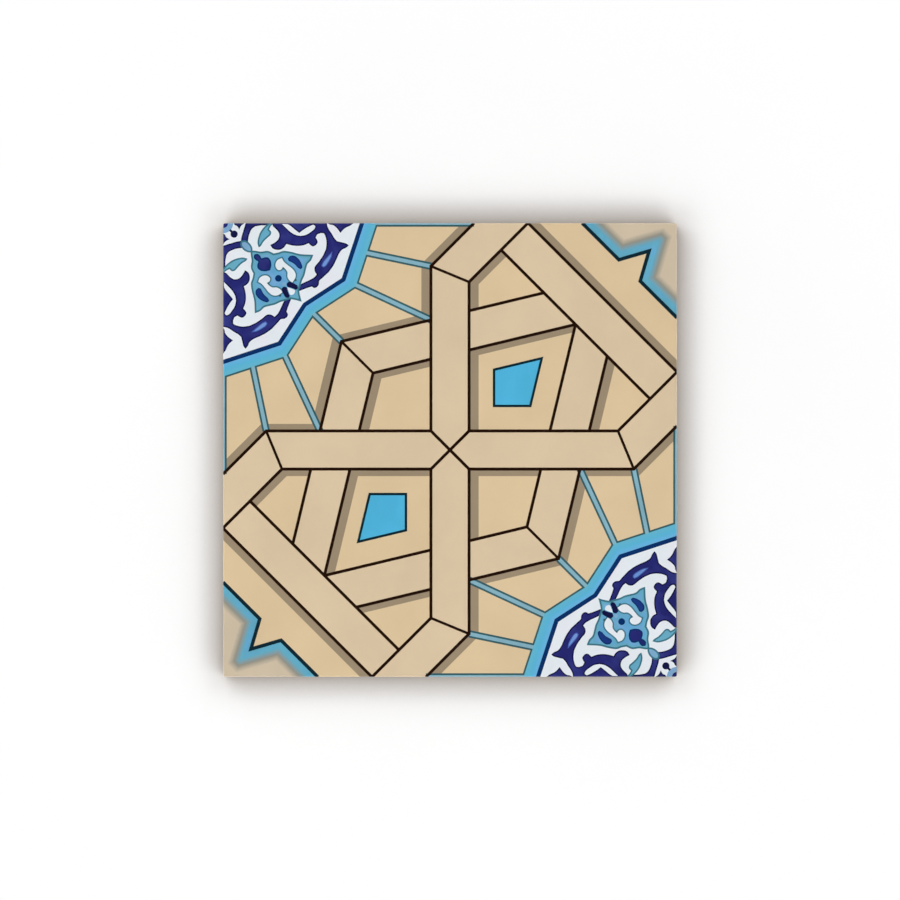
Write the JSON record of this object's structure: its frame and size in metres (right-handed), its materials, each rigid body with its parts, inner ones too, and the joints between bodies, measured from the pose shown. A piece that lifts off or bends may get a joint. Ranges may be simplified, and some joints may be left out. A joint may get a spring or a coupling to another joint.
{
  "type": "geometric ceramic tile",
  "caption": "Square glazed ceramic tile with interlaced strapwork, arabesque medallion quarters at opposite corners and star quarters at the others; turned copies complete the pattern.",
  "frame": {"origin": "middle of the back, on the plane of its ribs and border", "axes": "+Z out of the glazed face; +X and +Y along the sides; the medallion quarters are at the corners (-X, +Y) and (+X, -Y)"},
  "size_m": [0.2, 0.2, 0.008],
  "materials": {
    "glazed_ceramic": "glossy glaze, beige with teal, navy, white and near-black drawing; bare biscuit on the edges and back"
  },
  "bodies": {
    "root": {"tile": "glazed_ceramic"}
  },
  "joints": []
}
